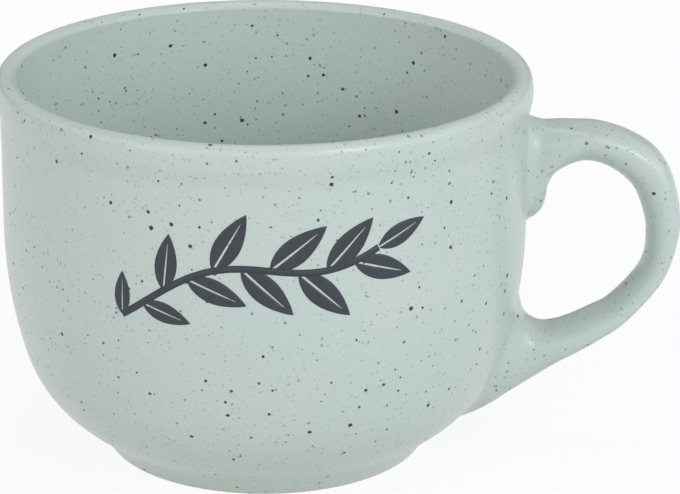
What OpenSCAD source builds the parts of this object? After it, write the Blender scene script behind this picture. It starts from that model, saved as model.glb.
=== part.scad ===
// Stoneware soup mug: a wide turned cup on a foot ring, with one strap handle.
// The origin is on the cup's axis, in the plane that the foot ring stands on.
// The handle points along +X and the front of the cup faces -Y. Lengths are in millimetres.

/* [Cup] */
// Widest diameter of the rim
rim_d = 126.2; // [110:0.2:140]
// Height from the table to the top of the lip
cup_h = 92.5; // [85:0.5:105]
// Thickness of the side wall
wall_t = 3.9; // [3:0.1:5]
// Thickness of the floor inside the foot ring
floor_t = 4.6; // [3.5:0.1:6]
// Height where the straight wall starts to turn in
belly_z = 54.8; // [51:0.2:57]
// Radius of the long curve below the straight wall
belly_r = 106; // [90:1:125]
// Angle from upright at which the long curve gives way to the tight one
belly_angle = 16.3; // [13:0.1:19]
// Slope of the underside above level, in degrees
under_slope = 37; // [33:0.5:41]

/* [Lip] */
// How far the rounded lip stands proud of the wall
lip_proud = 0.9; // [0.4:0.1:1.4]
// Height over which the lip fades into the wall
lip_fade = 5; // [3:0.2:8]
// Drop from the top of the lip to its widest place outside
lip_drop_out = 4.6; // [3:0.1:5.5]
// Drop from the top of the lip to the upright wall inside
lip_drop_in = 1.7; // [1:0.1:2.5]

/* [Foot ring] */
// How far the top of the foot ring's outer face stands in from the wall
foot_in = 20.3; // [18.5:0.1:22]
// Height at which the foot ring meets the underside of the cup
foot_h = 5; // [4:0.1:5.8]
// Lean of the foot ring's outer face from upright, in degrees
foot_lean = 36.5; // [25:0.5:42]
// Width of the flat that touches the table
foot_flat = 2.4; // [1.6:0.1:4]
// Depth of the hollow inside the foot ring
foot_hollow = 1.8; // [1.2:0.1:2.6]
// Radius of the cove between the foot ring and the cup
foot_cove = 12; // [5:0.5:16]
// Radius of the foot ring's lower edge
foot_edge = 0.7; // [0.3:0.1:1]

/* [Handle] */
// How far the middle of the strap stands out from the wall
reach = 32.7; // [27:0.1:40]
// Thickness of the strap
strap_t = 8; // [6.5:0.1:9.5]
// Width of the strap
strap_w = 14.8; // [12:0.1:18]
// Drop from the top of the lip to the middle of the strap as it leaves the upper joint
strap_drop = 17.1; // [15.5:0.1:18.5]
// Height of the middle of the strap as it runs into the lower joint
strap_low = 27; // [25.5:0.1:31]
// Squareness of the strap's section, where 2 is an oval
strap_square = 2.8; // [2:0.1:4]

/* [Joints] */
// Height of the upper joint on the wall
upper_h = 24.7; // [23:0.1:28]
// Clearance between the widest place of the lip and the top of the upper joint
upper_gap = 6.6; // [5:0.1:8]
// How far the thumb pad under the upper joint stands out from the wall
pad_out = 4.8; // [3.8:0.1:6.2]
// Height of the lower joint on the wall
lower_h = 33.3; // [30:0.1:33.6]
// Height of the middle of the lower joint
lower_z = 20.7; // [20.5:0.1:24]
// How much wider than the strap the upper joint spreads on either side
upper_flare = 1.8; // [1:0.1:4]
// How much wider than the strap the lower joint spreads on either side
lower_flare = 5.4; // [2:0.1:6]
// Distance from the wall over which each spread dies away
flare_run = 8.6; // [5:0.2:12]
// Thickness of the slip that bonds the handle to the wall
slip_t = 0.4; // [0.2:0.05:0.6]
// How far the slip's bead creeps out round the joint
slip_bead = 0.7; // [0.3:0.1:1]

/* [Hidden] */

glaze_colour = [0.72, 0.79, 0.76];
slip_colour = [0.66, 0.70, 0.66];

turns = 96;          // steps in a full turn of the cup
arc_step = 4;        // degrees between the points of an arc in the outline
fade_steps = 5;      // points of the lip's fade
lip_steps = 7;       // points of each quarter of the lip
edge_steps = 3;      // points of the foot ring's lower edge
cove_steps = 5;      // points of the cove
ring_points = 32;    // points round the strap
row_steps = 3;       // rings between two rows of the strap's tables
cap_rings = 7;       // rings of facets across an end face of the strap
seat = 0.12;         // clearance that keeps the flat facets of the slip off the round wall
film_gap = 0.05;     // clearance between the slip and the end face of the strap
half_turn = 180;
full_turn = 360;
right_angle = 90;

// Sizes that follow from the driving ones
rim_r = rim_d / 2;
wall_r = rim_r - lip_proud;
bore_r = wall_r - wall_t;
foot_r = wall_r - foot_in;
floor_z = foot_hollow + floor_t;
strap_top = cup_h - strap_drop;
lip_crest_r = (rim_r + bore_r) / 2;
lip_widest_z = cup_h - lip_drop_out;
lip_low_z = lip_widest_z - lip_fade;
upper_z = lip_widest_z - upper_gap - upper_h / 2;
film_top = slip_t - film_gap;

// The tight curve touches the long curve at one end and the slope of the underside at the other
belly_cx = wall_r - belly_r;
turn_span = (foot_r - belly_cx) * sin(under_slope) + (belly_z - foot_h) * cos(under_slope);
turn_lean = sin(belly_angle + under_slope);
turn_r = (turn_span - belly_r * turn_lean) / (1 - turn_lean);
turn_cx = belly_cx + (belly_r - turn_r) * cos(belly_angle);
turn_cz = belly_z - (belly_r - turn_r) * sin(belly_angle);
turn_end = right_angle - under_slope;
turn_end_z = turn_cz - turn_r * sin(turn_end);

// The foot ring's outer face leans in towards the table, and a cove eases it into the underside
foot_base_r = foot_r - foot_h * tan(foot_lean);
edge_run = foot_edge / tan((right_angle + foot_lean) / 2);
foot_flat_r = foot_base_r - edge_run - foot_flat;
cove_run = foot_cove * tan((turn_end - foot_lean) / 2);
cove_low_z = foot_h - cove_run * cos(foot_lean);
cove_top_z = foot_h + cove_run * sin(under_slope);
cove_cx = foot_r - cove_run * sin(foot_lean) + foot_cove * cos(foot_lean);
cove_cz = cove_low_z - foot_cove * sin(foot_lean);

// The inside keeps the wall's thickness along the tight curve, then one more curve brings it level with
// the floor. That curve takes up the whole run from the tight curve to where slope and floor would meet.
inner_turn_r = turn_r - wall_t;
inner_end_x = turn_cx + inner_turn_r * cos(turn_end);
inner_end_z = turn_cz - inner_turn_r * sin(turn_end);
corner_x = foot_r + ((floor_z - foot_h) * cos(under_slope) - wall_t) / sin(under_slope);
corner_run = norm([inner_end_x - corner_x, inner_end_z - floor_z]);
floor_curve_r = corner_run / tan(under_slope / 2);

// Points of an arc, from angle a to angle b
function arc(cx, cz, rx, rz, a, b, steps) =
    [for (i = [0:steps]) let (t = a + (b - a) * i / steps) [cx + rx * cos(t), cz + rz * sin(t)]];

function steps_of(angle) = ceil(abs(angle) / arc_step);

// A stretch of outline without its first point, which the stretch before it ends on
function onward(points) = [for (i = [1:len(points) - 1]) points[i]];

// How far the wall swells towards the lip at a share of the fade's height
function lip_swell(share) = lip_proud * (1 - cos(half_turn * min(share, 1))) / 2;

// Distance of the wall's outer face from the axis at height z
function wall_at(z) =
    z >= lip_low_z ? wall_r + lip_swell((z - lip_low_z) / lip_fade)
    : z >= belly_z ? wall_r
    : z >= belly_z - belly_r * sin(belly_angle) ? belly_cx + sqrt(pow(belly_r, 2) - pow(belly_z - z, 2))
    : z >= turn_end_z ? turn_cx + sqrt(pow(turn_r, 2) - pow(turn_cz - z, 2))
    : z >= cove_top_z ? foot_r + (z - foot_h) * tan(turn_end)
    : z >= cove_low_z ? cove_cx - sqrt(pow(foot_cove, 2) - pow(z - cove_cz, 2))
    : foot_base_r + z * tan(foot_lean);

function foot_outline() = concat(
    [[0, foot_hollow], [foot_flat_r - foot_hollow, foot_hollow], [foot_flat_r, 0]],
    arc(foot_base_r - edge_run, foot_edge, foot_edge, foot_edge, -right_angle, -foot_lean, edge_steps),
    arc(cove_cx, cove_cz, foot_cove, foot_cove,
        half_turn - foot_lean, right_angle + under_slope, cove_steps));

function side_outline() = concat(
    arc(turn_cx, turn_cz, turn_r, turn_r, -turn_end, -belly_angle, steps_of(turn_end - belly_angle)),
    onward(arc(belly_cx, belly_z, belly_r, belly_r, -belly_angle, 0, steps_of(belly_angle))));

function lip_outline() = concat(
    [for (i = [0:fade_steps]) let (share = i / fade_steps)
        [wall_r + lip_swell(share), lip_low_z + lip_fade * share]],
    onward(arc(lip_crest_r, lip_widest_z, rim_r - lip_crest_r, lip_drop_out, 0, right_angle, lip_steps)),
    onward(arc(lip_crest_r, cup_h - lip_drop_in, lip_crest_r - bore_r, lip_drop_in,
        right_angle, half_turn, lip_steps)));

function inner_outline() = concat(
    arc(belly_cx, belly_z, belly_r - wall_t, belly_r - wall_t, 0, -belly_angle, steps_of(belly_angle)),
    onward(arc(turn_cx, turn_cz, inner_turn_r, inner_turn_r,
        -belly_angle, -turn_end, steps_of(turn_end - belly_angle))),
    onward(arc(corner_x - corner_run, floor_z + floor_curve_r, floor_curve_r, floor_curve_r,
        -turn_end, -right_angle, steps_of(under_slope))),
    [[0, floor_z]]);

module cup_body() {
    color(glaze_colour)
        rotate_extrude($fn = turns)
            polygon(concat(foot_outline(), side_outline(), lip_outline(), inner_outline()));
}

// The strap is laid out from the wall: a row gives the middle of one section as its distance out
// from the wall and its height, then how far the section leans round from upright, how deep it is and
// how much wider than the strap it may spread.

// Upper joint: shares of the pad's stand-out, of the climb to the strap, of a half turn and of the joint
upper_shares = [
    [0, 0, 0, 1],
    [0.094, -0.008, 0, 0.98],
    [0.34, 0.064, -0.005, 0.918],
    [0.65, 0.159, -0.005, 0.835],
    [0.891, 0.355, 0.005, 0.728],
    [1.091, 0.589, 0.03, 0.61],
    [1.574, 0.851, 0.053, 0.476]];

// Bow: shares of the reach, of the drop from the top to the tail, of a half turn and of the thickness
bow_shares = [
    [0.388, 1.006, 0.053, 1.038],
    [0.528, 0.997, 0.072, 1],
    [0.682, 0.956, 0.15, 1.075],
    [0.812, 0.894, 0.236, 1.169],
    [0.901, 0.811, 0.34, 1.163],
    [0.964, 0.678, 0.439, 1.094],
    [0.983, 0.539, 0.528, 0.969],
    [0.933, 0.339, 0.648, 0.781],
    [0.748, 0.142, 0.743, 0.806],
    [0.611, 0.063, 0.776, 0.925],
    [0.46, -0.006, 0.796, 1.069]];

// Lower joint: shares of the distance left to the wall, of the drop left, of a half turn and of the joint
lower_shares = [
    [0.721, 0.558, 0.849, 0.336],
    [0.507, 0.305, 0.896, 0.462],
    [0.342, 0.169, 0.92, 0.616],
    [0.246, 0.094, 0.936, 0.775],
    [0.165, 0.01, 0.957, 0.904],
    [0, 0, 1, 1]];

tail_out = bow_shares[len(bow_shares) - 1][0] * reach;

upper_rows = [for (s = upper_shares)
    [s[0] * pad_out, upper_z + s[1] * (strap_top - upper_z), s[2] * half_turn, s[3] * upper_h, upper_flare]];
bow_rows = [for (s = bow_shares)
    [s[0] * reach, strap_low + s[1] * (strap_top - strap_low), s[2] * half_turn, s[3] * strap_t, 0]];
lower_rows = [for (s = lower_shares)
    [s[0] * tail_out, lower_z + s[1] * (strap_low - lower_z), s[2] * half_turn, s[3] * lower_h, lower_flare]];
rows = concat(upper_rows, bow_rows, lower_rows);
last_row = len(rows) - 1;

// Smooth curve through the rows, by the cubic that passes each row in the direction of its neighbours
function row(i) = rows[min(max(i, 0), last_row)];
function between(p, q, r, s, t) =
    q + ((r - p) * t + (2 * p - 5 * q + 4 * r - s) * pow(t, 2) + (3 * q - p - 3 * r + s) * pow(t, 3)) / 2;
function section(k) = let (i = min(floor(k / row_steps), last_row - 1), t = k / row_steps - i)
    between(row(i - 1), row(i), row(i + 1), row(i + 2), t);

// Half the width of a section: it spreads as its middle nears the wall
function half_width(s) = strap_w / 2 + s[4] * pow(max(0, 1 - s[0] / flare_run), 3);

// Distance from the middle to the edge of a rounded square of half-width 1, in direction a
function rounded(a) =
    1 / pow(pow(abs(cos(a)), strap_square) + pow(abs(sin(a)), strap_square), 1 / strap_square);

// A ring of the strap in wall coordinates: distance out from the wall, offset across, height
function ring(s, shrink, grow) = [for (i = [0:ring_points - 1])
    let (a = full_turn * i / ring_points)
    let (deep = (s[3] / 2 * shrink + grow) * rounded(a) * cos(a))
    let (across = (half_width(s) * shrink + grow) * rounded(a) * sin(a))
    [s[0] + deep * sin(s[2]), across, s[1] + deep * cos(s[2])]];

// From wall coordinates to space, so that a distance of nought always lies on the round wall
function in_space(p) = [sqrt(pow(wall_at(p[2]) + p[0], 2) - pow(p[1], 2)), p[1], p[2]];
function lift(points, d) = [for (p = points) [p[0] + d, p[1], p[2]]];

// Rings that close an end face towards its middle
function cap(s, d) = [for (j = [1:cap_rings - 1]) lift(ring(s, 1 - j / cap_rings, 0), d)];
function middle(s, d) = [s[0] + d, 0, s[1]];

// A closed skin over a list of rings, with a single point at either end. Every four-cornered facet is
// split along its shorter diagonal, so mirrored halves match and facing skins run parallel.
module skin(first, rings, last) {
    n = ring_points;
    m = len(rings);
    points = [for (p = concat([first], [for (r = rings) each r], [last])) in_space(p)];
    sides = [for (j = [0:m - 2], i = [0:n - 1])
        let (a = 1 + j * n + i, b = 1 + j * n + (i + 1) % n)
        each norm(points[b] - points[a + n]) < norm(points[a] - points[b + n])
            ? [[a, b, a + n], [b, b + n, a + n]]
            : [[a, b, b + n], [a, b + n, a + n]]];
    starts = [for (i = [0:n - 1]) [0, 1 + (i + 1) % n, 1 + i]];
    ends = [for (i = [0:n - 1]) let (a = 1 + (m - 1) * n) [a + i, a + (i + 1) % n, m * n + 1]];
    polyhedron(points, concat(starts, sides, ends));
}

function reversed(list) = [for (i = [len(list) - 1:-1:0]) list[i]];

module handle() {
    top_end = row(0);
    low_end = row(last_row);
    rings = concat(
        reversed(cap(top_end, slip_t)),
        [lift(ring(top_end, 1, 0), slip_t)],
        [for (k = [1:last_row * row_steps - 1]) lift(ring(section(k), 1, 0), slip_t)],
        [lift(ring(low_end, 1, 0), slip_t)],
        cap(low_end, slip_t));
    color(glaze_colour)
        skin(middle(top_end, slip_t), rings, middle(low_end, slip_t));
}

// A film of slip between the wall and one end face of the strap, with a bead round its edge
function film(s) = concat(
    reversed(cap(s, seat)),
    [lift(ring(s, 1, slip_bead), seat), lift(ring(s, 1, 0), film_top)],
    cap(s, film_top));

module upper_joint_slip() {
    s = row(0);
    color(slip_colour)
        skin(middle(s, seat), film(s), middle(s, film_top));
}

// The strap runs towards the wall here, so the rings are listed from the strap to the wall
module lower_joint_slip() {
    s = row(last_row);
    color(slip_colour)
        skin(middle(s, film_top), reversed(film(s)), middle(s, seat));
}

cup_body();
handle();
upper_joint_slip();
lower_joint_slip();
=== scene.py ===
# %% [markdown]
# # A speckled stoneware soup mug
# This lesson dresses a CAD model of a wide soup mug so that it looks like fired stoneware. The mug
# has a turned cup, a strap handle that melts into the wall, and a sprig printed on its front. A
# potter makes the cup on a wheel, so Geometry Nodes turn it here. The handle is drawn out by hand,
# so a loft makes it. The glaze is one procedural material, which cup and handle share.

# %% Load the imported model
import math

import bmesh
import bpy
import numpy as np
from mathutils import Matrix, Vector


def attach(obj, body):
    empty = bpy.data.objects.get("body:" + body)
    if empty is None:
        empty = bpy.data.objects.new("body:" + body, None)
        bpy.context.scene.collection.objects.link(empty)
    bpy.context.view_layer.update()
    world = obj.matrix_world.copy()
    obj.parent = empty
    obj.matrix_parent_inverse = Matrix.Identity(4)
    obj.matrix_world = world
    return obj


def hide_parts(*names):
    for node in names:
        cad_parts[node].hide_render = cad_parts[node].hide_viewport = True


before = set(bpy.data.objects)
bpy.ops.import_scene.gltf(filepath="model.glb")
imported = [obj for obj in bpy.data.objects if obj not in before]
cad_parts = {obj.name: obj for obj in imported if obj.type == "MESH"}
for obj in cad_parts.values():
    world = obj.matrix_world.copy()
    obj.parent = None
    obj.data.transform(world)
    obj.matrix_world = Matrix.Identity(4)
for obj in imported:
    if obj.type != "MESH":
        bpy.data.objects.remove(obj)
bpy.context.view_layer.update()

MM = 0.001               # one millimetre in Blender's metres
scene = bpy.context.scene


def add_object(name, data):
    """A new object in the scene that holds a mesh, a lamp or a camera."""
    made = bpy.data.objects.new(name, data)
    scene.collection.objects.link(made)
    return made


# %% [markdown]
# ## The camera
# A long lens stands about 70 cm away and looks down by 20 degrees, so the mouth shows as a flat
# oval. Blender's camera looks along its own -Z with +Y up, so its matrix is built from three
# directions: right, up and back. The small turns after that aim it, and the last one swings it
# round the mug towards the handle. A constraint could aim it too, but numbers are easier to repeat.

# %% Camera
SENSOR, LONG_LENS = 36, 156.82   # mm
DISTANCE = 0.7118                # metres from the middle of the mug
LOOK_DOWN = 0.345                # radians
AIM_HEIGHT = 0.0462              # metres
YAW, PITCH, ROLL = -0.0267, 0.0019, 0.007        # radians that aim it
SWING = 0.05                     # radians round the mug, towards the handle


def camera_matrix():
    eye = Vector((0, -DISTANCE * math.cos(LOOK_DOWN),
                  AIM_HEIGHT + DISTANCE * math.sin(LOOK_DOWN)))
    ahead = (Vector((0, 0, AIM_HEIGHT)) - eye).normalized()
    ahead = Matrix.Rotation(YAW, 3, "Z") @ ahead
    right = ahead.cross(Vector((0, 0, 1))).normalized()
    ahead = math.cos(PITCH) * ahead + math.sin(PITCH) * right.cross(ahead)
    up = right.cross(ahead)
    right, up = (math.cos(ROLL) * right + math.sin(ROLL) * up,
                 math.cos(ROLL) * up - math.sin(ROLL) * right)
    swing = Matrix.Rotation(SWING, 3, "Z")
    columns = [swing @ v for v in (right, up, -ahead)]
    turned = Matrix(columns).transposed().to_4x4()
    turned.translation = swing @ eye
    return turned


camera = add_object("camera", bpy.data.cameras.new("camera"))
camera.data.sensor_width, camera.data.lens = SENSOR, LONG_LENS
camera.matrix_world = camera_matrix()
scene.camera = camera
print("camera at", [round(v, 3) for v in camera.location])

# %% [markdown]
# ## Node maths as Python sums
# Materials and Geometry Nodes are both graphs. Drawing each Math node by hand makes long code, so a
# small class wraps one socket and turns +, -, * and / into Math nodes. Another class holds the
# graph and adds any other node in one call: its type, then its settings, then the values of its
# sockets. The nodes that come back most often have short calls of their own: noise, a smooth step,
# a blend of two colours, a bump and a join.

# %% Helpers for node graphs
MIX_A, MIX_B, MIX_RESULT = 6, 7, 2       # the sockets of a Mix node that carry colours


class Wire:
    """An output socket that can be used in sums. A sum adds the Math node that works it out."""

    def __init__(self, graph, socket):
        self.graph, self.socket = graph, socket

    def out(self, name):
        """Another output of the same node, by its name or number."""
        return Wire(self.graph, self.socket.node.outputs[name])

    def is_vector(self):
        return self.socket.type in ("VECTOR", "RGBA")

    def sum_with(self, operation, first, second):
        vector = any(isinstance(x, tuple) or isinstance(x, Wire) and x.is_vector()
                     for x in (first, second))
        kind = "ShaderNodeVectorMath" if vector else "ShaderNodeMath"
        return self.graph.add(kind, {"operation": operation}, {0: first, 1: second})

    def __add__(self, other): return self.sum_with("ADD", self, other)
    def __radd__(self, other): return self.sum_with("ADD", other, self)
    def __sub__(self, other): return self.sum_with("SUBTRACT", self, other)
    def __rsub__(self, other): return self.sum_with("SUBTRACT", other, self)
    def __truediv__(self, other): return self.sum_with("DIVIDE", self, other)

    def __mul__(self, other):
        if self.is_vector() and not isinstance(other, tuple):
            return self.graph.add("ShaderNodeVectorMath", {"operation": "SCALE"},
                                  {0: self, "Scale": other})
        return self.sum_with("MULTIPLY", self, other)

    __rmul__ = __mul__

    def math(self, operation, other=None):
        values = {0: self} if other is None else {0: self, 1: other}
        return self.graph.add("ShaderNodeMath", {"operation": operation}, values)


class Graph:
    """A node tree that takes a node's type, its settings and its socket values in one call."""

    def __init__(self, tree):
        self.tree = tree

    def add(self, kind, settings=None, values=None):
        """Adds a node and returns its first output that is in use."""
        node = self.tree.nodes.new(kind)
        for name, value in (settings or {}).items():
            setattr(node, name, value)
        for key, value in (values or {}).items():
            self.feed(node.inputs[key], value)
        return Wire(self, next(s for s in node.outputs if s.enabled))

    def feed(self, socket, value):
        if isinstance(value, Wire):
            self.tree.links.new(value.socket, socket)
        else:
            socket.default_value = value

    def noise(self, place, scale, detail):
        return self.add("ShaderNodeTexNoise",
                        values={"Vector": place, "Scale": scale, "Detail": detail})

    def step(self, value, start, end, low, high):
        """Runs smoothly from `low` to `high` while the value goes from `start` to `end`."""
        return self.add("ShaderNodeMapRange", {"interpolation_type": "SMOOTHSTEP"},
                        {"Value": value, "From Min": start, "From Max": end,
                         "To Min": low, "To Max": high})

    def blend(self, factor, first, second):
        """A colour that goes from the first to the second while the factor goes from 0 to 1."""
        mixed = self.add("ShaderNodeMix", {"data_type": "RGBA"},
                         {"Factor": factor, MIX_A: first, MIX_B: second})
        return mixed.out(MIX_RESULT)

    def bump(self, relief, strength):
        """The way the surface faces, tilted by a relief in millimetres."""
        return self.add("ShaderNodeBump",
                        values={"Strength": strength, "Distance": MM, "Height": relief})

    def join(self, *shapes):
        """Several pieces of geometry as one."""
        joined = self.add("GeometryNodeJoinGeometry")
        for shape in shapes:
            self.feed(joined.socket.node.inputs["Geometry"], shape)
        return joined


def linear(*srgb):
    """A colour as a painter reads it off a screen, 0 to 255, in the linear numbers of nodes."""
    def one(c):
        c /= 255
        return c / 12.92 if c <= 0.04045 else ((c + 0.055) / 1.055) ** 2.4
    return tuple(one(c) for c in srgb) + (1.0,)


print("graph helpers ready")

# %% [markdown]
# ## The cup's outline
# On a wheel, a potter pulls up a wall and shapes it with a rib: the outline is a few arcs that run
# into each other without a corner. The same arcs are worked out here from the sizes of the CAD
# model, only with many more points, so that highlights run smoothly. An upright wall turns in by a
# long curve, then by a tight one, and a straight slope runs down to a low foot ring with a leaning
# face. The lip is a rounded bead that stands slightly proud. It is rolled a little squarer here
# than in the CAD model and fades into the wall over one millimetre more, as its shading shows.

# %% Sizes of the cup in millimetres
RIM_R, CUP_H, WALL_T, FLOOR_T = 63.1, 92.5, 3.9, 4.6
BELLY_Z, BELLY_R, BELLY_ANGLE, UNDER_SLOPE = 54.8, 106.0, math.radians(16.3), math.radians(37)
LIP_PROUD, LIP_FADE, LIP_DROP_OUT, LIP_DROP_IN = 0.9, 6.0, 4.6, 1.7
LIP_SQUARE = 2.7                 # 2 is an oval, and more is squarer
FOOT_IN, FOOT_H, FOOT_LEAN = 20.3, 5.0, math.radians(36.5)
FOOT_FLAT, FOOT_HOLLOW, FOOT_COVE, FOOT_EDGE = 2.4, 1.8, 12.0, 0.7

WALL_R = RIM_R - LIP_PROUD
BORE_R = WALL_R - WALL_T
FOOT_R = WALL_R - FOOT_IN
FLOOR_Z = FOOT_HOLLOW + FLOOR_T
CREST_R = (RIM_R + BORE_R) / 2
BELLY_CX = WALL_R - BELLY_R
TURN_END = math.pi / 2 - UNDER_SLOPE
LEAN = math.sin(BELLY_ANGLE + UNDER_SLOPE)
SPAN = (FOOT_R - BELLY_CX) * math.sin(UNDER_SLOPE) + (BELLY_Z - FOOT_H) * math.cos(UNDER_SLOPE)
TURN_R = (SPAN - BELLY_R * LEAN) / (1 - LEAN)
TURN_CX = BELLY_CX + (BELLY_R - TURN_R) * math.cos(BELLY_ANGLE)
TURN_CZ = BELLY_Z - (BELLY_R - TURN_R) * math.sin(BELLY_ANGLE)
TURN_END_Z = TURN_CZ - TURN_R * math.sin(TURN_END)
FOOT_BASE_R = FOOT_R - FOOT_H * math.tan(FOOT_LEAN)
EDGE_RUN = FOOT_EDGE / math.tan((math.pi / 2 + FOOT_LEAN) / 2)
COVE_RUN = FOOT_COVE * math.tan((TURN_END - FOOT_LEAN) / 2)
COVE_LOW_Z = FOOT_H - COVE_RUN * math.cos(FOOT_LEAN)
COVE_TOP_Z = FOOT_H + COVE_RUN * math.sin(UNDER_SLOPE)
COVE_CX = FOOT_R - COVE_RUN * math.sin(FOOT_LEAN) + FOOT_COVE * math.cos(FOOT_LEAN)
COVE_CZ = COVE_LOW_Z - FOOT_COVE * math.sin(FOOT_LEAN)
LIP_WIDEST_Z = CUP_H - LIP_DROP_OUT
LIP_LOW_Z = LIP_WIDEST_Z - LIP_FADE
print("the tight curve has a radius of %.1f mm" % TURN_R)


# %% The wall's radius, and arcs, rolls and lines
ARC_STEP, LINE_STEP = 1.2, 2.5   # millimetres between neighbouring points
ROLL_POINTS = 25


def wall_at(z):
    """Radius of the wall's outer face at height z, up to the lip's widest place."""
    z = np.asarray(z, float)

    def bulge(cx, cz, r, side=1):
        return cx + side * np.sqrt(np.maximum(r ** 2 - (cz - z) ** 2, 0))

    fade = np.clip((z - LIP_LOW_Z) / LIP_FADE, 0, 1)
    return np.select(
        [z >= BELLY_Z, z >= BELLY_Z - BELLY_R * math.sin(BELLY_ANGLE), z >= TURN_END_Z,
         z >= COVE_TOP_Z, z >= COVE_LOW_Z],
        [WALL_R + LIP_PROUD * (1 - np.cos(math.pi * fade)) / 2, bulge(BELLY_CX, BELLY_Z, BELLY_R),
         bulge(TURN_CX, TURN_CZ, TURN_R), FOOT_R + (z - FOOT_H) * math.tan(TURN_END),
         bulge(COVE_CX, COVE_CZ, FOOT_COVE, -1)],
        FOOT_BASE_R + z * math.tan(FOOT_LEAN))


def arc(cx, cz, rx, rz, start, end, step=ARC_STEP):
    """Points of an arc or of an oval's quarter, about `step` millimetres apart."""
    count = max(3, math.ceil(abs(end - start) * max(rx, rz) / step))
    t = np.linspace(start, end, count + 1)
    return [(cx + rx * math.cos(a), cz + rz * math.sin(a)) for a in t]


def roll(cx, cz, rx, rz, square):
    """A quarter of an oval from its side to its top, squarer where `square` is over 2."""
    t = np.linspace(0, math.pi / 2, ROLL_POINTS)
    power = 2 / square
    return [(cx + rx * max(math.cos(a), 0) ** power, cz + rz * math.sin(a) ** power) for a in t]


def line(a, b, step=LINE_STEP):
    """Points of a straight line, at most `step` millimetres apart."""
    count = max(1, math.ceil(math.dist(a, b) / step))
    return [tuple(p + (q - p) * i / count for p, q in zip(a, b)) for i in range(count + 1)]


print("the wall's radius at mid-height: %.1f mm" % wall_at(CUP_H / 2))

# %% [markdown]
# The outline starts on the axis under the floor and ends on the axis inside. Where two arcs meet
# they share a tangent. A real foot ring has no knife edges, so the hollow's corners are small arcs
# as well.

# %% Trace the outline
HOLLOW_EASE = 0.6                # radius that softens the hollow's two corners
EASE_STEP, FLAT_STEP, EDGE_STEP, COVE_STEP, LIP_STEP = 0.12, 0.8, 0.15, 0.4, 0.25
LIP_ROWS = 15
SAME_POINT = 1e-4                # two points nearer to each other than this are one


def cup_outline():
    quarter, eighth = math.pi / 2, math.pi / 4
    inner_r = TURN_R - WALL_T
    end = (TURN_CX + inner_r * math.cos(TURN_END), TURN_CZ - inner_r * math.sin(TURN_END))
    corner = FOOT_R + ((FLOOR_Z - FOOT_H) * math.cos(UNDER_SLOPE) - WALL_T) / math.sin(UNDER_SLOPE)
    run = math.dist(end, (corner, FLOOR_Z))
    floor_r = run / math.tan(UNDER_SLOPE / 2)
    flat_out = FOOT_BASE_R - EDGE_RUN
    flat_in = flat_out - FOOT_FLAT
    ease = HOLLOW_EASE
    back = ease * math.tan(eighth / 2)
    hollow_out = flat_in - FOOT_HOLLOW - back
    stretches = [
        line((0, FOOT_HOLLOW), (hollow_out, FOOT_HOLLOW)),
        arc(hollow_out, FOOT_HOLLOW - ease, ease, ease, quarter, eighth, EASE_STEP),
        arc(flat_in + back, ease, ease, ease, -eighth - quarter, -quarter, EASE_STEP),
        line((flat_in + back, 0), (flat_out, 0), FLAT_STEP),
        arc(flat_out, FOOT_EDGE, FOOT_EDGE, FOOT_EDGE, -quarter, -FOOT_LEAN, EDGE_STEP),
        arc(COVE_CX, COVE_CZ, FOOT_COVE, FOOT_COVE, math.pi - FOOT_LEAN, quarter + UNDER_SLOPE,
            COVE_STEP),
        arc(TURN_CX, TURN_CZ, TURN_R, TURN_R, -TURN_END, -BELLY_ANGLE),
        arc(BELLY_CX, BELLY_Z, BELLY_R, BELLY_R, -BELLY_ANGLE, 0),
        line((WALL_R, BELLY_Z), (WALL_R, LIP_LOW_Z)),
        [(float(wall_at(z)), z) for z in np.linspace(LIP_LOW_Z, LIP_WIDEST_Z, LIP_ROWS)],
        roll(CREST_R, LIP_WIDEST_Z, RIM_R - CREST_R, LIP_DROP_OUT, LIP_SQUARE),
        arc(CREST_R, CUP_H - LIP_DROP_IN, CREST_R - BORE_R, LIP_DROP_IN, quarter, math.pi,
            LIP_STEP),
        line((BORE_R, CUP_H - LIP_DROP_IN), (BORE_R, BELLY_Z)),
        arc(BELLY_CX, BELLY_Z, BELLY_R - WALL_T, BELLY_R - WALL_T, 0, -BELLY_ANGLE),
        arc(TURN_CX, TURN_CZ, inner_r, inner_r, -BELLY_ANGLE, -TURN_END),
        arc(corner - run, FLOOR_Z + floor_r, floor_r, floor_r, -TURN_END, -quarter),
        line((corner - run, FLOOR_Z), (0, FLOOR_Z)),
    ]
    points = []
    for stretch in stretches:
        for p in stretch:
            if not points or math.dist(p, points[-1]) > SAME_POINT:
                points.append(p)
    return points


outline = cup_outline()
print("outline of", len(outline), "points, from", outline[0], "to", outline[-1])

# %% [markdown]
# ## Turning the cup with Geometry Nodes
# A lathe is a rule: take point i of the outline and put a copy at every angle round the axis. The
# tree starts from a flat grid with one row for each outline point and one column for each angle,
# reads the outline with Sample Index, and moves every grid point to its place. Merge by Distance
# then closes the seam and the two poles. The Screw modifier could turn it as well, but the tree
# keeps the number of steps as a named input, and it shows how a formula becomes a shape.

# %% A small wrapper for Geometry Nodes modifiers
def new_tree(name, inputs):
    """A Geometry Nodes graph with named inputs, and the wires by which they come in."""
    tree = bpy.data.node_groups.new(name, "GeometryNodeTree")
    tree.interface.new_socket("Geometry", in_out="INPUT", socket_type="NodeSocketGeometry")
    tree.interface.new_socket("Geometry", in_out="OUTPUT", socket_type="NodeSocketGeometry")
    kinds = {int: "NodeSocketInt", float: "NodeSocketFloat"}
    for label, value in inputs.items():
        socket = tree.interface.new_socket(label, in_out="INPUT", socket_type=kinds[type(value)])
        socket.default_value = value
    graph = Graph(tree)
    source = tree.nodes.new("NodeGroupInput")
    wires = {s.name: Wire(graph, s) for s in source.outputs if s.name}
    return graph, wires


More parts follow.
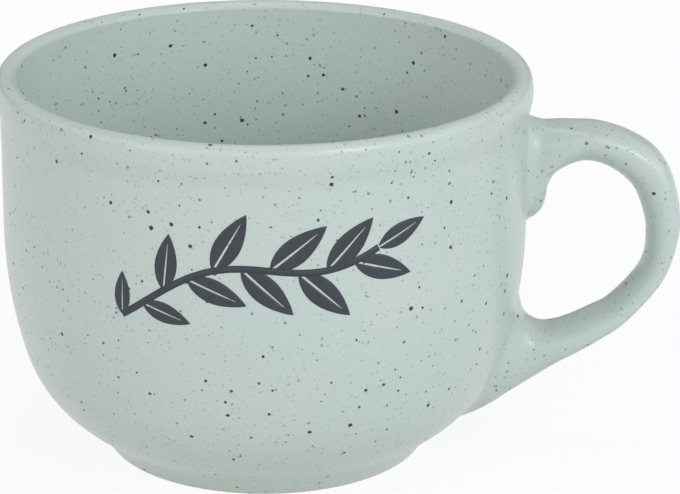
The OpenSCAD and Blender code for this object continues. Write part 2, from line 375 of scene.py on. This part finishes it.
def close_tree(graph, shape, material):
    """Ends a tree in Realize Instances and Set Material."""
    shape = graph.add("GeometryNodeRealizeInstances", values={"Geometry": shape})
    shape = graph.add("GeometryNodeSetMaterial", values={"Geometry": shape, "Material": material})
    sink = graph.tree.nodes.new("NodeGroupOutput")
    graph.feed(sink.inputs["Geometry"], shape)


def run_tree(graph, name, base, inputs):
    """Runs the tree on a base mesh, with the inputs given, and returns a plain mesh object."""
    helper = add_object(name + "_base", base)
    modifier = helper.modifiers.new("shape", "NODES")
    modifier.node_group = graph.tree
    for item in graph.tree.interface.items_tree:
        if item.in_out == "INPUT" and item.name in inputs:
            modifier[item.identifier] = inputs[item.name]
    result = helper.evaluated_get(bpy.context.evaluated_depsgraph_get())
    mesh = bpy.data.meshes.new_from_object(result)
    helper.modifiers.clear()
    bpy.data.objects.remove(helper)
    return add_object(name, mesh)


def mesh_of(name, points, edges=(), faces=()):
    """A mesh from points in millimetres."""
    mesh = bpy.data.meshes.new(name)
    mesh.from_pydata([tuple(v * MM for v in p) for p in points], edges, faces)
    return mesh


def polyline(name, points):
    """A mesh of points joined by edges."""
    return mesh_of(name, points, edges=[(i, i + 1) for i in range(len(points) - 1)])


print("tree helpers ready")


# %% Report on a finished mesh
CUBIC_CM = 1e-6


def finish_mesh(piece):
    """Shades a piece smooth, turns its faces outwards and prints its size and open edges."""
    mesh = piece.data
    mesh.shade_smooth()
    work = bmesh.new()
    work.from_mesh(mesh)
    if work.calc_volume(signed=True) < 0:
        bmesh.ops.reverse_faces(work, faces=work.faces)
        work.to_mesh(mesh)
    open_edges = sum(not e.is_manifold for e in work.edges)
    triangles = sum(len(f.verts) - 2 for f in work.faces)
    volume = work.calc_volume(signed=True) / CUBIC_CM
    work.free()
    print("%s: %d triangles, %d open edges, %.1f cm3" % (piece.name, triangles, open_edges, volume))


print("mesh report ready")

# %% [markdown]
# ## The glaze
# Stoneware clay holds grains of iron. In the kiln they melt through a pale glaze and leave dark
# specks of every size: few bold ones, more small ones, and many so faint that they look like dust.
# One layer of cells (a Voronoi texture) makes one kind of speck: every cell holds one point, the
# cell's random colour gives that speck its radius and its strength, and the distance to the point
# draws it. Four layers are stacked. Object coordinates in millimetres keep each speck at its real
# size on cup and handle alike.

# %% Colours of the finishes
SAGE_WARM, SAGE_COOL = linear(195, 205, 197), linear(187, 202, 200)
IRON = linear(30, 33, 34)
CLAY_PALE, CLAY_DARK = linear(214, 203, 184), linear(196, 184, 164)
INK_DARK, INK_PALE = linear(42, 48, 56), linear(53, 59, 69)
MID_GREY = (0.5, 0.5, 0.5)
GLASS_IOR = 1.5

# size of a cell, smallest and largest radius in millimetres, least and most strength
SPECK_LAYERS = [
    (4.4, 0.28, 0.60, 0.95, 1.0),
    (3.2, 0.22, 0.45, 0.5, 0.9),
    (2.5, 0.24, 0.43, 0.22, 0.55),
    (1.25, 0.19, 0.36, 0.1, 0.3),
]
SPECK_EDGE = (0.78, 1.08)        # a speck fades out between these shares of its radius
SPECK_WOBBLE = 0.35              # how far its round outline is bent
LAYER_SHIFT, SHIFT_WAY = 17.3, (1, 0.7, 1.3)     # moves each layer's cells off the last one's


def new_material(name):
    """A material, the graph of its nodes and the shader node that it starts with."""
    material = bpy.data.materials.new(name)
    material.use_nodes = True
    return material, Graph(material.node_tree), material.node_tree.nodes["Principled BSDF"]


def set_surface(graph, shader, colour, rough, normal):
    """Gives a glassy surface its colour, its roughness and its fine relief."""
    graph.feed(shader.inputs["Base Color"], colour)
    graph.feed(shader.inputs["Roughness"], rough)
    graph.feed(shader.inputs["Normal"], normal)
    shader.inputs["IOR"].default_value = GLASS_IOR


def object_mm(graph):
    """Object coordinates in millimetres."""
    return graph.add("ShaderNodeTexCoord").out("Object") * (1 / MM)


def specks(graph, place, layer, shift):
    """How strongly one layer darkens each point, 0 to 1."""
    cell, thin, wide, faint, strong = layer
    cells = graph.add("ShaderNodeTexVoronoi", {"feature": "F1"},
                      {"Vector": place + tuple(shift * way for way in SHIFT_WAY),
                       "Scale": 1 / cell})
    luck = graph.add("ShaderNodeSeparateColor", values={"Color": cells.out("Color")})
    radius = thin + (wide - thin) * luck.math("MULTIPLY", luck)
    distance = cells.out("Distance") * cell
    disc = graph.step(distance, *(radius * share for share in SPECK_EDGE), 1.0, 0.0)
    return disc * (faint + (strong - faint) * luck.out("Green"))


print("glaze of", len(SPECK_LAYERS), "layers of specks")


# %% [markdown]
# The glaze itself is never one flat colour. Broad soft clouds warm and cool it. The foot ring's
# touching face is wiped bare before firing, because glaze would weld the mug to the kiln shelf. A
# speck is slightly rougher than the glaze and dimples it.

# %% Glaze material
# each noise has its waves per millimetre and its detail
CLOUDS, WOBBLE, SKIN = (0.03, 2.0), (2.2, 1.0), (0.35, 2.0)
RAGGED, GRAIN = (0.5, 3.0), (1.4, 4.0)
WIPED_UP_TO, WIPED_RAGGED = (0.1, 0.25), 0.35    # heights over the table, in millimetres
GLAZE_ROUGH, CLOUD_ROUGH, SPECK_ROUGH, CLAY_ROUGH = 0.28, 0.05, 0.12, 0.85
SKIN_RELIEF, SPECK_DIMPLE, CLAY_RELIEF, GLAZE_BUMP = 0.05, 0.03, 0.06, 0.6


def glaze_material():
    material, graph, shader = new_material("speckled_glaze")
    place = object_mm(graph)
    height = graph.add("ShaderNodeSeparateXYZ", values={0: place}).out("Z")

    clouds = graph.noise(place, *CLOUDS)
    colour = graph.blend(clouds, SAGE_WARM, SAGE_COOL)

    wobble = graph.noise(place, *WOBBLE)
    bent = place + (wobble.out("Color") - MID_GREY) * SPECK_WOBBLE
    clear = 1.0
    for number, layer in enumerate(SPECK_LAYERS):
        clear = (1 - specks(graph, bent, layer, LAYER_SHIFT * number)) * clear
    dark = 1 - clear
    colour = graph.blend(dark, colour, IRON)

    ragged = graph.noise(place, *RAGGED)
    wiped = graph.step(height - ragged * WIPED_RAGGED, *WIPED_UP_TO, 1.0, 0.0)
    grain = graph.noise(place, *GRAIN)
    clay = graph.blend(grain, CLAY_PALE, CLAY_DARK)
    colour = graph.blend(wiped, colour, clay)

    satin = GLAZE_ROUGH + clouds * CLOUD_ROUGH + dark * SPECK_ROUGH
    rough = satin + (CLAY_ROUGH - satin) * wiped
    skin = graph.noise(place, *SKIN)
    relief = skin * SKIN_RELIEF - dark * SPECK_DIMPLE + grain * wiped * CLAY_RELIEF
    set_surface(graph, shader, colour, rough, graph.bump(relief, GLAZE_BUMP))
    return material


glaze = glaze_material()
print("glaze has", len(glaze.node_tree.nodes), "nodes")

# %% Turn the cup
TURNS = 288
MERGE = 1e-6                     # metres


def lathe_tree(material):
    graph, wire = new_tree("lathe", {"Outline points": 2, "Steps in a turn": TURNS,
                                     "Merge distance": MERGE})
    rows, steps = wire["Outline points"], wire["Steps in a turn"]
    grid = graph.add("GeometryNodeMeshGrid", values={"Vertices X": rows, "Vertices Y": steps + 1})
    index = graph.add("GeometryNodeInputIndex")
    row = (index / (steps + 1)).math("FLOOR")
    angle = (index - row * (steps + 1)) * (2 * math.pi) / steps
    where = graph.add("GeometryNodeInputPosition")
    sample = graph.add("GeometryNodeSampleIndex", {"data_type": "FLOAT_VECTOR"},
                       {"Geometry": wire["Geometry"], "Value": where, "Index": row})
    parts = graph.add("ShaderNodeSeparateXYZ", values={0: sample})
    spot = graph.add("ShaderNodeCombineXYZ", values={
        "X": parts.out("X") * angle.math("COSINE"), "Y": parts.out("X") * angle.math("SINE"),
        "Z": parts.out("Z")})
    shape = graph.add("GeometryNodeSetPosition", values={"Geometry": grid, "Position": spot})
    shape = graph.add("GeometryNodeMergeByDistance",
                      values={"Geometry": shape, "Distance": wire["Merge distance"]})
    close_tree(graph, shape, material)
    return graph


base = polyline("outline", [(r, 0, z) for r, z in outline])
cup = run_tree(lathe_tree(glaze), "cup", base, {"Outline points": len(outline)})
finish_mesh(cup)

# %% [markdown]
# ## The strap handle
# A strap handle is pressed or pulled, cut to length, and stuck to the wall with slip. The potter
# wipes the joints until they flow into the wall. So the handle is laid out from the wall: a row
# says how far out the middle of one section is, how high, how far it leans, how deep it is and how
# far it flares where it meets the wall. A smooth curve runs through the rows, and a loft joins the
# rings. The strap swells into a pad for the thumb over the upper joint. Both joints flare by a
# quarter of an oval: the upper one is wiped into a tight crease, and the lower one into a broad
# blend. The rows are those of the CAD model, apart from the pad's rounder lower corner, the wider
# flares and the strap's softer edges, which only the shading shows.

# %% Rows of the handle, close to those of the CAD model
REACH, STRAP_T, STRAP_W = 32.7, 8.0, 14.8
STRAP_DROP, UPPER_DROP = 17.1, 6.6       # strap's middle below the rim, joint's top below the lip
STRAP_TOP, STRAP_LOW = CUP_H - STRAP_DROP, 27.0
UPPER_H, PAD_OUT, LOWER_H, LOWER_Z = 24.7, 4.8, 33.3, 20.7
UPPER_Z = LIP_WIDEST_Z - UPPER_DROP - UPPER_H / 2
UPPER_FLARE, LOWER_FLARE = 2.6, 7.4
FLARE_REACH = 1.3        # how far out a flare starts, for each millimetre that it spreads
WIPE, WIPE_REACH = 0.25, 0.4     # the same for the flare up and down, as shares of the other
LIFT, LIFT_REACH = 0.4, 3.0      # the strap stands off by the slip's thickness, from so far out
INNER_DEPTH = 0.62               # extra depth of a level strap's inner half, for each mm of egg

upper = np.array([
    [0, 0, 0, 1], [0.094, -0.015, 0, 0.984], [0.34, 0.012, -0.005, 0.945],
    [0.65, 0.128, -0.005, 0.851], [0.891, 0.355, 0.005, 0.728], [1.091, 0.589, 0.03, 0.61],
    [1.574, 0.851, 0.053, 0.476]])
bow = np.array([
    [0.388, 1.006, 0.053, 1.038], [0.528, 0.997, 0.072, 1], [0.682, 0.956, 0.15, 1.075],
    [0.812, 0.894, 0.236, 1.169], [0.901, 0.811, 0.34, 1.163], [0.964, 0.678, 0.439, 1.094],
    [0.983, 0.539, 0.528, 0.969], [0.933, 0.339, 0.648, 0.781], [0.748, 0.142, 0.743, 0.806],
    [0.611, 0.063, 0.776, 0.925], [0.46, -0.006, 0.796, 1.069]])
lower = np.array([
    [0.721, 0.558, 0.849, 0.336], [0.507, 0.305, 0.896, 0.462], [0.342, 0.169, 0.92, 0.616],
    [0.246, 0.094, 0.936, 0.775], [0.165, 0.01, 0.957, 0.904], [0, 0, 1, 1]])
rows = np.concatenate([
    upper * [PAD_OUT, STRAP_TOP - UPPER_Z, math.pi, UPPER_H] + [0, UPPER_Z, 0, 0],
    bow * [REACH, STRAP_TOP - STRAP_LOW, math.pi, STRAP_T] + [0, STRAP_LOW, 0, 0],
    lower * [bow[-1, 0] * REACH, STRAP_LOW - LOWER_Z, math.pi, LOWER_H] + [0, LOWER_Z, 0, 0]])
lengths = [len(upper), len(bow), len(lower)]
flares = np.repeat([UPPER_FLARE, 0, LOWER_FLARE], lengths)
squares = np.repeat([2.6, 2.2, 2.3], lengths)     # 2 is an oval, and more is squarer
eggs = np.repeat([0, 1.2, 0.1], lengths)          # how far out from mid-depth the widest place lies
rows = np.column_stack([rows, flares, squares, eggs])
print("handle of", len(rows), "rows")


# %% Loft the handle
RINGS_PER_ROW, RING_POINTS = 9, 72
SUNK = 0.06                      # how far the ends lie inside the wall's face
CAPS = [0.8, 0.6, 0.4, 0.2]      # sizes of the rings that close an end
LEAST_RUN = 0.1                  # even a flare of nought has a run, to divide by


def smooth_rows(rows, per_row):
    """Points on the curve that passes every row in the direction of its neighbours."""
    last = len(rows) - 1
    out = []
    for i in range(last):
        p, q, r, s = (rows[min(max(j, 0), last)] for j in range(i - 1, i + 3))
        # an end has twice the rings, closest at the wall, where the flare is steepest
        if i == 0:
            steps = np.linspace(0, 1, 2 * per_row, endpoint=False) ** 2
        elif i == last - 1:
            steps = 1 - np.linspace(1, 0, 2 * per_row + 1) ** 2
        else:
            steps = np.linspace(0, 1, per_row, endpoint=False)
        for t in steps:
            bend = (2 * p - 5 * q + 4 * r - s) * t ** 2 + (3 * q - p - 3 * r + s) * t ** 3
            out.append(q + ((r - p) * t + bend) / 2)
    return out


def flared(out, spread, run):
    """How much a quarter of an oval adds at a distance from the wall."""
    near = max(0.0, 1 - max(out, 0) / max(run, LEAST_RUN))
    return spread * (1 - math.sqrt(1 - near ** 2))


def ring(section, grow=1.0):
    """One ring in wall coordinates: distance out from the wall, offset across and height."""
    out, height, lean, depth, flare, square, egg = section
    wide = STRAP_W / 2 + flared(out, flare, FLARE_REACH * flare)
    high = depth / 2 + flared(out, WIPE * flare, WIPE_REACH * flare)
    out += LIFT * min(1, max(out, 0) / LIFT_REACH)
    a = np.linspace(0, 2 * math.pi, RING_POINTS, endpoint=False)
    reach = (abs(np.cos(a)) ** square + abs(np.sin(a)) ** square) ** (-1 / square)
    inner = INNER_DEPTH * egg * math.cos(lean) ** 2
    deep = np.where(np.cos(a) < 0, high + inner, high) * reach * np.cos(a)
    deep = (deep + egg * (reach * np.sin(a)) ** 2) * grow
    across = wide * reach * np.sin(a) * grow
    return np.stack([out + deep * math.sin(lean), across, height + deep * math.cos(lean)], -1)


def in_space(points):
    """From wall coordinates to space: a distance of nought always lies on the round wall."""
    radius = wall_at(points[:, 2]) + points[:, 0]
    return np.stack([np.sqrt(radius ** 2 - points[:, 1] ** 2), points[:, 1], points[:, 2]], -1)


def loft(name, rings, first, last):
    """A closed mesh over rings of equal length, with one point at either end."""
    n, m = len(rings[0]), len(rings)
    points = np.concatenate([[first], *rings, [last]])
    starts = [1 + j * n for j in range(m)]
    pairs = [(i, (i + 1) % n) for i in range(n)]
    faces = [(a + i, a + k, b + k, b + i) for a, b in zip(starts, starts[1:]) for i, k in pairs]
    faces += [(0, 1 + k, 1 + i) for i, k in pairs]
    faces += [(starts[-1] + i, starts[-1] + k, m * n + 1) for i, k in pairs]
    mesh = mesh_of(name, points, faces=faces)
    mesh.validate()
    return add_object(name, mesh)


def make_handle():
    sections = smooth_rows(rows, RINGS_PER_ROW)
    wall_rings = [ring(s) for s in sections]
    inwards = np.array([SUNK, 0, 0])
    top, low = sections[0], sections[-1]
    rings = ([ring(top, g) - inwards for g in reversed(CAPS)] + [ring(top) - inwards] + wall_rings
             + [ring(low) - inwards] + [ring(low, g) - inwards for g in CAPS])
    ends = [in_space(np.array([[-SUNK, 0, s[1]]]))[0] for s in (top, low)]
    return loft("strap_handle", [in_space(r) for r in rings], *ends)


handle = make_handle()
handle.data.materials.append(glaze)
finish_mesh(handle)

# %% [markdown]
# ## A printed sprig on the front
# The front carries a plain decoration in charcoal underglaze, as potters stamp or print it: a
# curved stem with pairs of leaves. The leaves repeat along a path, so Geometry Nodes set them. One
# leaf is drawn as a small flat mesh with a bare midrib. The tree places it along the stem, turns it
# with the stem's direction, shrinks it towards both ends, and at last wraps everything round the
# wall. The print stands proud by a few hundredths of a millimetre, as real print does.

# %% One leaf
LEAF_L, LEAF_W, MIDRIB = 15.5, 6.0, 0.5
LEAF_ROWS, LEAF_COLUMNS = 15, 4          # points along a leaf, and faces across one half of it
LEAF_FROM = 0.015                # the two halves stay apart at the stem
SKEW, BLUNT = 0.82, 0.85         # move the widest place towards the stem, and round the ends
MIDRIB_END, MIDRIB_TAPER = 0.86, 0.5     # shares of the leaf's length
SLIT_MOST = 0.6                  # share of the half leaf's width that the midrib may take
LEAF_MERGE = 0.02 * MM


def leaf_mesh():
    """A flat leaf along +X with its base at the origin, split by a bare midrib to near its tip."""
    along = np.linspace(LEAF_FROM, 1, LEAF_ROWS)
    half = LEAF_W / 2 * np.sin(math.pi * along ** SKEW) ** BLUNT
    gap = MIDRIB / 2 * np.clip((MIDRIB_END - along) / MIDRIB_TAPER, 0, 1) ** 0.5
    across = LEAF_COLUMNS
    points, faces = [], []
    for side in (1, -1):
        first = len(points)
        for x, wide, slit in zip(along, half, gap):
            slit = min(slit, wide * SLIT_MOST)
            points += [(x * LEAF_L, side * (slit + (wide - slit) * j / across), 0)
                       for j in range(across + 1)]
        for i in range(len(along) - 1):
            for j in range(across):
                a = first + i * (across + 1) + j
                quad = (a, a + across + 1, a + across + 2, a + 1)
                faces.append(quad if side > 0 else quad[::-1])
    mesh = mesh_of("leaf", points, faces=faces)
    work = bmesh.new()
    work.from_mesh(mesh)
    bmesh.ops.remove_doubles(work, verts=work.verts, dist=LEAF_MERGE)
    bmesh.ops.recalc_face_normals(work, faces=work.faces)
    if sum(f.normal.z for f in work.faces) < 0:
        bmesh.ops.reverse_faces(work, faces=work.faces)
    work.to_mesh(mesh)
    work.free()
    return mesh


leaf = bpy.data.objects.new("leaf", leaf_mesh())
print("leaf of", len(leaf.data.polygons), "faces")


# %% Ink
MOTTLE, INK_SKIN = (0.9, 3.0), (1.2, 2.0)        # waves per millimetre, and detail
INK_ROUGH, MOTTLE_ROUGH = 0.38, 0.1
INK_RELIEF, INK_BUMP = 0.02, 0.5


def ink_material():
    material, graph, shader = new_material("charcoal_ink")
    place = object_mm(graph)
    mottle = graph.noise(place, *MOTTLE)
    colour = graph.blend(mottle, INK_DARK, INK_PALE)
    rough = INK_ROUGH + mottle * MOTTLE_ROUGH
    skin = graph.noise(place, *INK_SKIN)
    set_surface(graph, shader, colour, rough, graph.bump(skin * INK_RELIEF, INK_BUMP))
    return material


ink = ink_material()
print("ink has", len(ink.node_tree.nodes), "nodes")

# %% The sprig's tree
SPRIG_AT = math.radians(4.3)     # from the front towards the handle
SPRIG_Z = 63.5
INK_PROUD, INK_SUNK = 0.07, 0.05
LEAVES, LEAF_ANGLE = 11, 0.85    # the angle is in radians, before the shares below
TURN_SHARE, TURN_LESS = 1.12, 0.4        # a leaf stands off more at the cut end than near the tip
SIZE_LEAST, SIZE_ARCH, TIP_LESS = 0.66, 1.22, 0.06       # leaves are largest past the middle
TIP_FROM = 0.995                 # the leaf past this share of the stem is its tip
STEM_W = 1.6
STEM_SHARE, STEM_TAPER = 1.15, 0.75      # of that width at the cut end, and lost by the tip
RIBBON_POINTS = 90
INK_MERGE = 2e-6                 # metres


def sprig_tree(material):
    graph, wire = new_tree("sprig", {
        "Leaves": LEAVES, "Leaf angle": LEAF_ANGLE, "Stem width": STEM_W * MM,
        "Wall radius": WALL_R * MM, "Curve radius": BELLY_R * MM, "Curve height": BELLY_Z * MM,
        "Middle height": SPRIG_Z * MM, "Turn from front": SPRIG_AT,
        "Thickness": (INK_PROUD + INK_SUNK) * MM, "Sunk": INK_SUNK * MM})
    stem = graph.add("GeometryNodeMeshToCurve", values={"Mesh": wire["Geometry"]})

    # leaves along the stem
    dots = graph.add("GeometryNodeResampleCurve", values={"Curve": stem, "Count": wire["Leaves"]})
    share = graph.add("GeometryNodeSplineParameter").out("Factor")
    index = graph.add("GeometryNodeInputIndex")
    side = 1 - 2 * (index - 2 * (index / 2).math("FLOOR"))
    last = share.math("GREATER_THAN", TIP_FROM)
    tangent = graph.add("GeometryNodeInputTangent")
    flat = graph.add("ShaderNodeSeparateXYZ", values={0: tangent})
    heading = flat.out("Y").math("ARCTAN2", flat.out("X"))
    turn = heading + side * wire["Leaf angle"] * (TURN_SHARE - TURN_LESS * share) * (1 - last)
    size = SIZE_LEAST + share * (SIZE_ARCH - share) - TIP_LESS * last
    shape = graph.add("GeometryNodeObjectInfo", values={"Object": leaf}).out("Geometry")
    spin = graph.add("ShaderNodeCombineXYZ", values={"Z": turn})
    placed = graph.add("GeometryNodeInstanceOnPoints",
                       values={"Points": dots, "Instance": shape, "Rotation": spin, "Scale": size})
    placed = graph.add("GeometryNodeRealizeInstances", values={"Geometry": placed})

    # the stem as a flat ribbon that tapers to its tip
    fine = graph.add("GeometryNodeResampleCurve", values={"Curve": stem, "Count": RIBBON_POINTS})
    fine = graph.add("GeometryNodeSetCurveNormal", {"mode": "Z_UP"}, {"Curve": fine})
    fine = graph.add("GeometryNodeSetCurveRadius",
                     values={"Curve": fine, "Radius": STEM_SHARE - STEM_TAPER * share})
    half = wire["Stem width"] / 2
    low = graph.add("ShaderNodeCombineXYZ", values={"X": 0 - half})
    high = graph.add("ShaderNodeCombineXYZ", values={"X": half})
    strip = graph.add("GeometryNodeCurvePrimitiveLine", values={"Start": low, "End": high})
    ribbon = graph.add("GeometryNodeCurveToMesh", values={"Curve": fine, "Profile Curve": strip})
    flat_print = graph.join(placed, ribbon)

    # a closed skin: the lower face looks in, the upper one is pushed out by the thickness
    up = graph.add("GeometryNodeExtrudeMesh", {"mode": "FACES"},
                   {"Mesh": flat_print, "Offset": (0, 0, 1), "Offset Scale": wire["Thickness"],
                    "Individual": False})
    under = graph.add("GeometryNodeFlipFaces", values={"Mesh": flat_print})
    solid = graph.add("GeometryNodeMergeByDistance",
                      values={"Geometry": graph.join(up, under), "Distance": INK_MERGE})

    # wrap: x runs round the wall, y up it, and z out of it
    flat_at = graph.add("ShaderNodeSeparateXYZ", values={0: graph.add("GeometryNodeInputPosition")})
    height = flat_at.out("Y") + wire["Middle height"]
    drop = (wire["Curve height"] - height).math("MAXIMUM", 0.0)
    sweep = wire["Curve radius"]
    radius = wire["Wall radius"] - sweep + (sweep * sweep - drop * drop).math("SQRT")
    angle = flat_at.out("X") / wire["Wall radius"] + wire["Turn from front"]
    radius = radius + flat_at.out("Z") - wire["Sunk"]
    around = graph.add("ShaderNodeCombineXYZ", values={
        "X": radius * angle.math("SINE"), "Y": 0 - radius * angle.math("COSINE"), "Z": height})
    solid = graph.add("GeometryNodeSetPosition", values={"Geometry": solid, "Position": around})
    close_tree(graph, solid, material)
    return graph


print("sprig of", LEAVES, "leaves")

# %% Print the sprig
STEM_FROM, STEM_RUN = (-35, -9.5), (59, 16)      # the straight line under the stem's wave
WAVE, WAVE_SHIFT, WAVE_FADE = 4.4, 0.12, 0.3
STEM_POINTS = 40


def stem_points():
    """The stem in the flat, from its cut end at the left to its tip at the right."""
    t = np.linspace(0, 1, STEM_POINTS)
    x = STEM_FROM[0] + STEM_RUN[0] * t
    wave = WAVE * np.sin(2 * math.pi * (t - WAVE_SHIFT)) * (1 - WAVE_FADE * t)
    y = STEM_FROM[1] + STEM_RUN[1] * t + wave
    return [(a, b, 0) for a, b in zip(x, y)]


sprig = run_tree(sprig_tree(ink), "printed_sprig", polyline("stem", stem_points()), {})
bpy.data.objects.remove(leaf)
finish_mesh(sprig)

# %% [markdown]
# ## Studio
# The mug stands on a plain pale floor. Most of the light comes from a soft sky that is brightest
# from the front and a third of the way up, as from a large softbox: that lights the far wall inside
# as well, and leaves the cup's depth and the strap's inner face darker. Two soft lamps in front and
# one beside the handle shape the strap, and the smallest of them, the key, draws the thin highlight
# along it. A weak lamp overhead picks out the lip. To a camera ray the sky is white and the floor
# nearly so, which keeps the background clean, yet the floor still takes the mug's soft shadow.

# %% Floor, world and lamps
WHITE = (1, 1, 1, 1)
FLOOR_HALF = 3000                # millimetres
FLOOR_TONE = linear(222, 222, 222)
FLOOR_GLOW = 0.88                # share of glow in what the camera and reflections see of it

# heights in the sky run from 0 at the horizon to 1 overhead
SKY_RISE, SKY_LOW = (0.0, 0.35), 0.1             # the belt comes up from so little at the horizon
SKY_FALL, SKY_OVERHEAD = (0.5, 0.64), 0.3        # and goes down to so much overhead
SKY_BELT, SKY_FAR = 1.32, 0.5                    # the belt's strength, and its share at the back

LAMP_AIM = (0, 0, 0.045)
LAMPS = [                # name, place, width, power in watts and colour
    ("key", (0.709, -0.845, 0.587), 0.3, 2.7, (0.9, 0.96, 1)),
    ("left", (-0.755, -0.9, 0.428), 0.6, 1.0, (1, 1, 1)),
    ("right", (1.157, -0.204, 0.428), 0.6, 1.3, (0.68, 0.86, 1)),
    ("top", (0, 0.3, 1.25), 0.4, 1.5, (1, 1, 1)),
]


def stage_floor():
    corners = [(x * FLOOR_HALF, y * FLOOR_HALF, 0) for x, y in ((-1, -1), (1, -1), (1, 1), (-1, 1))]
    mesh = mesh_of("floor", corners, faces=[(0, 1, 2, 3)])
    floor = add_object("floor", mesh)
    material, graph, shader = new_material("pale_floor")
    graph.tree.nodes.remove(shader)
    ray = graph.add("ShaderNodeLightPath")
    seen = ray.math("MAXIMUM", ray.out("Is Glossy Ray"))
    seen = seen.math("MAXIMUM", ray.out("Is Transmission Ray"))
    tone = graph.blend(seen, FLOOR_TONE, WHITE)
    paper = graph.add("ShaderNodeBsdfDiffuse", values={"Color": tone})
    glow = graph.add("ShaderNodeEmission", values={"Color": WHITE, "Strength": 1.0})
    mixed = graph.add("ShaderNodeMixShader", values={"Fac": seen * FLOOR_GLOW, 1: paper, 2: glow})
    graph.feed(graph.tree.nodes["Material Output"].inputs["Surface"], mixed)
    mesh.materials.append(material)


def soft_sky():
    """A sky that is brightest in a belt round the front, and dimmer overhead, behind and low."""
    world = bpy.data.worlds.new("studio")
    scene.world = world
    world.use_nodes = True
    graph = Graph(world.node_tree)
    generated = graph.add("ShaderNodeTexCoord").out("Generated")
    way = graph.add("ShaderNodeSeparateXYZ", values={0: generated})
    rise = graph.step(way.out("Z"), *SKY_RISE, SKY_LOW, 1.0)
    fall = graph.step(way.out("Z"), *SKY_FALL, 1.0, SKY_OVERHEAD)
    side = graph.add("ShaderNodeMapRange", values={
        "Value": way.out("Y"), "From Min": -1.0, "From Max": 1.0,
        "To Min": 2 - SKY_FAR, "To Max": SKY_FAR})
    strength = rise * fall * side * SKY_BELT
    ray = graph.add("ShaderNodeLightPath")
    seen = ray.math("MAXIMUM", ray.out("Is Transmission Ray"))
    background = world.node_tree.nodes["Background"]
    graph.feed(background.inputs["Strength"], strength + (1 - strength) * seen)
    background.inputs["Color"].default_value = WHITE


def soft_lamp(name, place, size, power, colour):
    lamp = add_object(name, bpy.data.lights.new(name, "AREA"))
    lamp.data.shape, lamp.data.size, lamp.data.energy = "DISK", size, power
    lamp.data.color = colour
    lamp.location = place
    lamp.rotation_mode = "QUATERNION"
    lamp.rotation_quaternion = (Vector(LAMP_AIM) - Vector(place)).to_track_quat("-Z", "Y")


stage_floor()
soft_sky()
for lamp in LAMPS:
    soft_lamp(*lamp)
scene.view_settings.view_transform = "Standard"
print("stage set with", len(LAMPS), "lamps")

# %% [markdown]
# ## Hang every piece on the body, and hide the CAD parts it takes the place of
# Every piece rides on the one body of the mug. The turned cup is shown where the CAD cup was, and
# that is hidden. The handle, with its wiped joints, is shown where the CAD handle and the two films
# of slip were, and these are hidden as well.

for piece in (cup, handle, sprig):
    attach(piece, "root")
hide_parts("cup_body")
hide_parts("handle", "upper_joint_slip", "lower_joint_slip")
